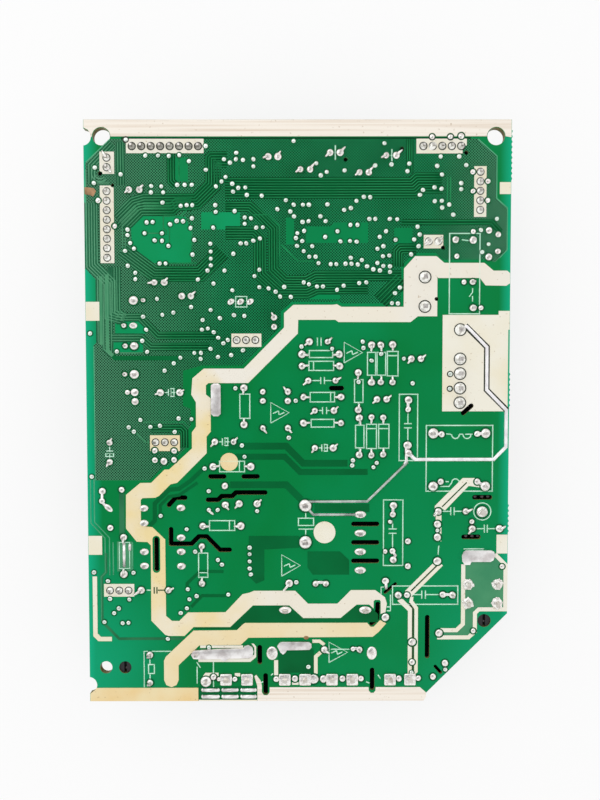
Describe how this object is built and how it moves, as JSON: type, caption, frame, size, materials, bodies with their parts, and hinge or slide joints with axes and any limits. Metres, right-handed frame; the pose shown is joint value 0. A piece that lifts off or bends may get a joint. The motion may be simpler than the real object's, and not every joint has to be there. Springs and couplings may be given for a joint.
{
  "type": "main control board",
  "caption": "Through-hole control board, solder side up on its tall parts: power side below, signal side above, headers, relays, choke, transformer and tab terminals.",
  "frame": {"origin": "bottom centre of the part's box, on the surface its tallest parts stand on, under the middle of the board", "axes": "+X across the board, +Y along it towards the two upper fixing holes, +Z out of the solder side"},
  "size_m": [0.1152, 0.1586, 0.0231],
  "materials": {
    "solder_mask_laminate": "satin green solder mask over glass-epoxy laminate",
    "solder": "bright tin solder",
    "tinned_lead": "tinned wire",
    "ivory_nylon": "moulded nylon",
    "white_nylon": "moulded nylon",
    "black_relay_case": "moulded polyester",
    "blue_relay_case": "moulded polyester",
    "phenolic_base": "moulded phenolic",
    "ferrite": "ground ferrite",
    "black_bobbin": "moulded phenolic",
    "enamelled_copper": "enamelled wire",
    "polyester_tape": "yellow polyester tape",
    "film_capacitor_box": "moulded box",
    "black_epoxy": "moulded epoxy",
    "capacitor_sleeve": "shrunk sleeve",
    "resistor_lacquer": "baked lacquer",
    "blue_epoxy_dip": "dipped epoxy",
    "orange_epoxy_dip": "dipped epoxy",
    "fuse_glass": "clear glass",
    "tinned_brass": "tinned brass strip",
    "black_nylon": "moulded nylon",
    "black_sealant": "set silicone"
  },
  "bodies": {
    "root": {"circuit_board": "solder_mask_laminate", "solder_joints": "solder", "solder_pads": "solder", "track_solder": "solder", "top_header_8way": "ivory_nylon", "left_header_8way": "ivory_nylon", "top_header_5way": "ivory_nylon", "right_header_5way": "ivory_nylon", "left_header_2way": "ivory_nylon", "centre_header_2way": "ivory_nylon", "centre_header_3way": "ivory_nylon", "band_header_3way": "ivory_nylon", "lower_header_3way": "ivory_nylon", "signal_pins": "tinned_lead", "mains_header": "white_nylon", "power_header": "white_nylon", "power_pins": "tinned_lead", "mains_relay_case": "black_relay_case", "mains_relay_base": "phenolic_base", "output_relay_case": "blue_relay_case", "output_relay_base": "phenolic_base", "relay_pins": "tinned_lead", "choke_core": "ferrite", "choke_bobbin": "black_bobbin", "choke_windings": "enamelled_copper", "choke_pins": "tinned_lead", "transformer_core": "ferrite", "transformer_bobbin": "black_bobbin", "transformer_winding": "polyester_tape", "transformer_pins": "tinned_lead", "film_capacitors": "film_capacitor_box", "slot_filling": "black_sealant", "film_capacitor_leads": "tinned_lead", "bridge_rectifier": "black_epoxy", "bridge_leads": "tinned_lead", "bulk_capacitor": "capacitor_sleeve", "bulk_capacitor_terminals": "tinned_lead", "output_capacitors": "capacitor_sleeve", "small_capacitors": "capacitor_sleeve", "can_leads": "tinned_lead", "resistors": "resistor_lacquer", "diodes": "black_epoxy", "axial_leads": "tinned_lead", "disc_capacitors": "blue_epoxy_dip", "varistor": "blue_epoxy_dip", "resonator": "orange_epoxy_dip", "disc_leads": "tinned_lead", "optocoupler": "black_epoxy", "optocoupler_leads": "tinned_lead", "fuse_tube": "fuse_glass", "fuse_caps": "tinned_brass", "fuse_clips": "tinned_brass", "tab_terminals": "tinned_brass", "wire_post": "tinned_brass", "microcontroller": "black_epoxy", "driver_chip": "black_epoxy", "chip_leads": "tinned_lead", "chip_resistors": "black_epoxy", "board_spacers": "black_nylon"}
  },
  "joints": []
}
